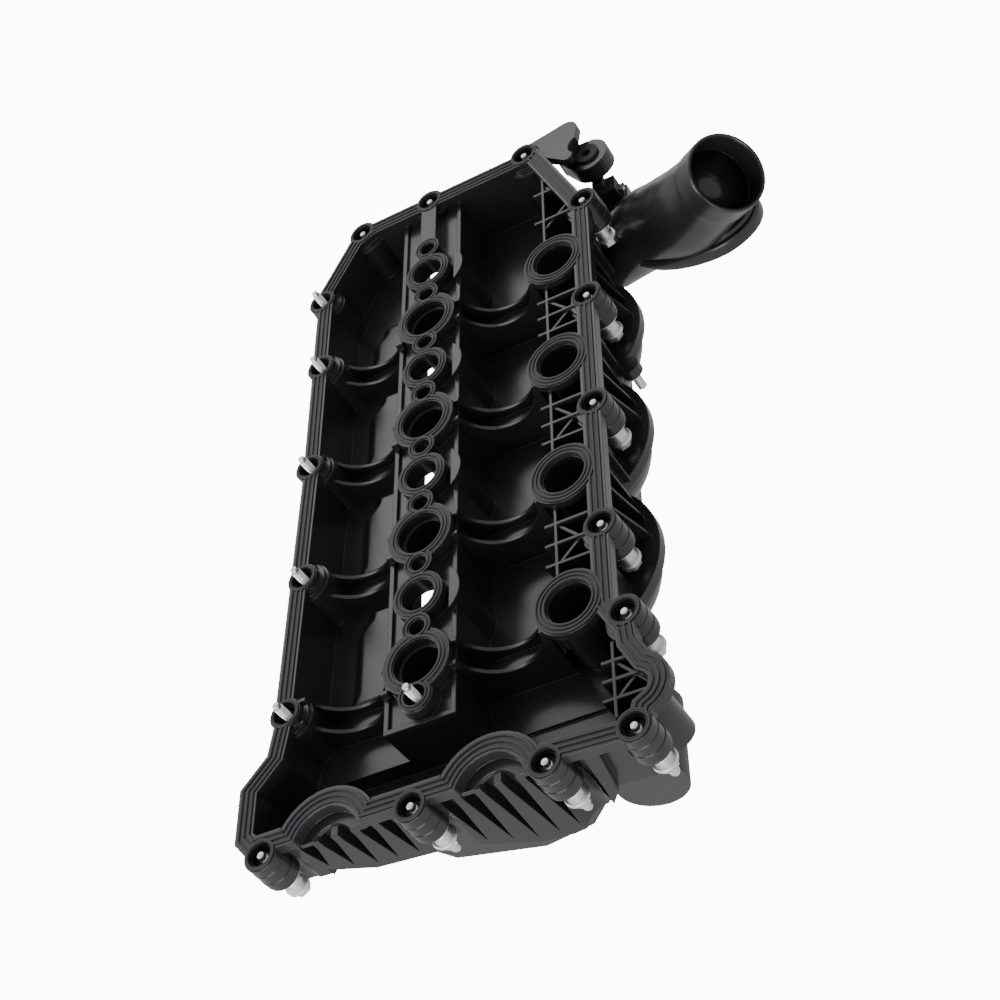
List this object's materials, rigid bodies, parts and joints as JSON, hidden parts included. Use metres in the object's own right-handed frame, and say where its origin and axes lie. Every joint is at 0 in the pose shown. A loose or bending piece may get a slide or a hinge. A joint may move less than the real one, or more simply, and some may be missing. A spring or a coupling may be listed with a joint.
{
  "type": "intake manifold",
  "caption": "Cam cover and intake manifold in one moulding, with gasket face, inlet ports, swirl flaps, plenum, inlet elbow and captive bolts.",
  "frame": {"origin": "axis of injector well 1 in the plane of the gasket face", "axes": "+Z out of the gasket face, +Y along the bank towards the air inlet's end, +X towards the side ports"},
  "size_m": [0.3509, 0.5285, 0.1166],
  "materials": {
    "cover_nylon": "satin glass-filled nylon",
    "duct_nylon": "satin",
    "end_nylon": "matte",
    "gasket_rubber": "matte moulded rubber",
    "grommet_rubber": "matte",
    "bolt_steel": "bright zinc plating",
    "sleeve_steel": "drawn",
    "washer_zinc": "bright zinc plating",
    "pin_steel": "ground",
    "flap_steel": "stamped",
    "bush_brass": "turned",
    "stud_brass": "yellow zinc plating",
    "actuator_nylon": "matte",
    "gear_plastic": "moulded",
    "sensor_plastic": "matte"
  },
  "bodies": {
    "manifold": {"cam_cover": "cover_nylon", "spine_bridge": "cover_nylon", "plenum_shell": "duct_nylon", "end_cover": "end_nylon", "elbow_upper": "duct_nylon", "elbow_lower": "duct_nylon", "inlet_tube": "duct_nylon", "perimeter_gasket": "gasket_rubber", "spine_gasket": "gasket_rubber", "port_seal_1": "gasket_rubber", "port_seal_2": "gasket_rubber", "port_seal_3": "gasket_rubber", "port_seal_4": "gasket_rubber", "bolt_sleeves": "sleeve_steel", "bolt_washers": "washer_zinc", "bolt_grommets": "grommet_rubber", "shaft_bushes": "bush_brass", "flap_actuator": "actuator_nylon", "actuator_cap": "actuator_nylon", "ear_bracket": "duct_nylon", "ear_isolator": "grommet_rubber", "pressure_sensor": "sensor_plastic", "sensor_screw": "pin_steel", "cover_stud": "stud_brass"},
    "bolt_left_1_body": {"bolt_left_1": "bolt_steel"},
    "bolt_left_2_body": {"bolt_left_2": "bolt_steel"},
    "bolt_left_3_body": {"bolt_left_3": "bolt_steel"},
    "bolt_left_4_body": {"bolt_left_4": "bolt_steel"},
    "bolt_left_5_body": {"bolt_left_5": "bolt_steel"},
    "bolt_left_6_body": {"bolt_left_6": "bolt_steel"},
    "bolt_right_1_body": {"bolt_right_1": "bolt_steel"},
    "bolt_right_2_body": {"bolt_right_2": "bolt_steel"},
    "bolt_right_3_body": {"bolt_right_3": "bolt_steel"},
    "bolt_right_4_body": {"bolt_right_4": "bolt_steel"},
    "bolt_right_5_body": {"bolt_right_5": "bolt_steel"},
    "bolt_right_6_body": {"bolt_right_6": "bolt_steel"},
    "bolt_top_1_body": {"bolt_top_1": "bolt_steel"},
    "bolt_top_2_body": {"bolt_top_2": "bolt_steel"},
    "bolt_end_1_body": {"bolt_end_1": "bolt_steel"},
    "bolt_end_2_body": {"bolt_end_2": "bolt_steel"},
    "bolt_end_3_body": {"bolt_end_3": "bolt_steel"},
    "bolt_spine_body": {"bolt_spine": "bolt_steel"},
    "flap_rod": {"flap_shaft": "pin_steel", "flap_1": "flap_steel", "flap_2": "flap_steel", "flap_3": "flap_steel", "flap_4": "flap_steel", "flap_screws": "pin_steel", "actuator_gear": "gear_plastic"}
  },
  "joints": [
    {"name": "bolt_left_1_slide", "type": "slide", "parent": "manifold", "child": "bolt_left_1_body", "axis": [0, 0, 1], "range_m": [-0.01, 0]},
    {"name": "bolt_left_2_slide", "type": "slide", "parent": "manifold", "child": "bolt_left_2_body", "axis": [0, 0, 1], "range_m": [-0.01, 0]},
    {"name": "bolt_left_3_slide", "type": "slide", "parent": "manifold", "child": "bolt_left_3_body", "axis": [0, 0, 1], "range_m": [-0.01, 0]},
    {"name": "bolt_left_4_slide", "type": "slide", "parent": "manifold", "child": "bolt_left_4_body", "axis": [0, 0, 1], "range_m": [-0.01, 0]},
    {"name": "bolt_left_5_slide", "type": "slide", "parent": "manifold", "child": "bolt_left_5_body", "axis": [0, 0, 1], "range_m": [-0.01, 0]},
    {"name": "bolt_left_6_slide", "type": "slide", "parent": "manifold", "child": "bolt_left_6_body", "axis": [0, 0, 1], "range_m": [0, 0.01]},
    {"name": "bolt_right_1_slide", "type": "slide", "parent": "manifold", "child": "bolt_right_1_body", "axis": [0, 0, 1], "range_m": [0, 0.01]},
    {"name": "bolt_right_2_slide", "type": "slide", "parent": "manifold", "child": "bolt_right_2_body", "axis": [0, 0, 1], "range_m": [0, 0.01]},
    {"name": "bolt_right_3_slide", "type": "slide", "parent": "manifold", "child": "bolt_right_3_body", "axis": [0, 0, 1], "range_m": [0, 0.01]},
    {"name": "bolt_right_4_slide", "type": "slide", "parent": "manifold", "child": "bolt_right_4_body", "axis": [0, 0, 1], "range_m": [0, 0.01]},
    {"name": "bolt_right_5_slide", "type": "slide", "parent": "manifold", "child": "bolt_right_5_body", "axis": [0, 0, 1], "range_m": [0, 0.01]},
    {"name": "bolt_right_6_slide", "type": "slide", "parent": "manifold", "child": "bolt_right_6_body", "axis": [0, 0, 1], "range_m": [0, 0.01]},
    {"name": "bolt_top_1_slide", "type": "slide", "parent": "manifold", "child": "bolt_top_1_body", "axis": [0, 0, 1], "range_m": [0, 0.01]},
    {"name": "bolt_top_2_slide", "type": "slide", "parent": "manifold", "child": "bolt_top_2_body", "axis": [0, 0, 1], "range_m": [0, 0.01]},
    {"name": "bolt_end_1_slide", "type": "slide", "parent": "manifold", "child": "bolt_end_1_body", "axis": [0, 0, 1], "range_m": [0, 0.01]},
    {"name": "bolt_end_2_slide", "type": "slide", "parent": "manifold", "child": "bolt_end_2_body", "axis": [0, 0, 1], "range_m": [0, 0.01]},
    {"name": "bolt_end_3_slide", "type": "slide", "parent": "manifold", "child": "bolt_end_3_body", "axis": [0, 0, 1], "range_m": [0, 0.01]},
    {"name": "bolt_spine_slide", "type": "slide", "parent": "manifold", "child": "bolt_spine_body", "axis": [0, 0, 1], "range_m": [-0.01, 0]},
    {"name": "flap_turn", "type": "hinge", "parent": "manifold", "child": "flap_rod", "pos_m": [0.0956, -0.35, -0.066], "axis": [0, 1, 0], "range_deg": [0, 80]}
  ]
}
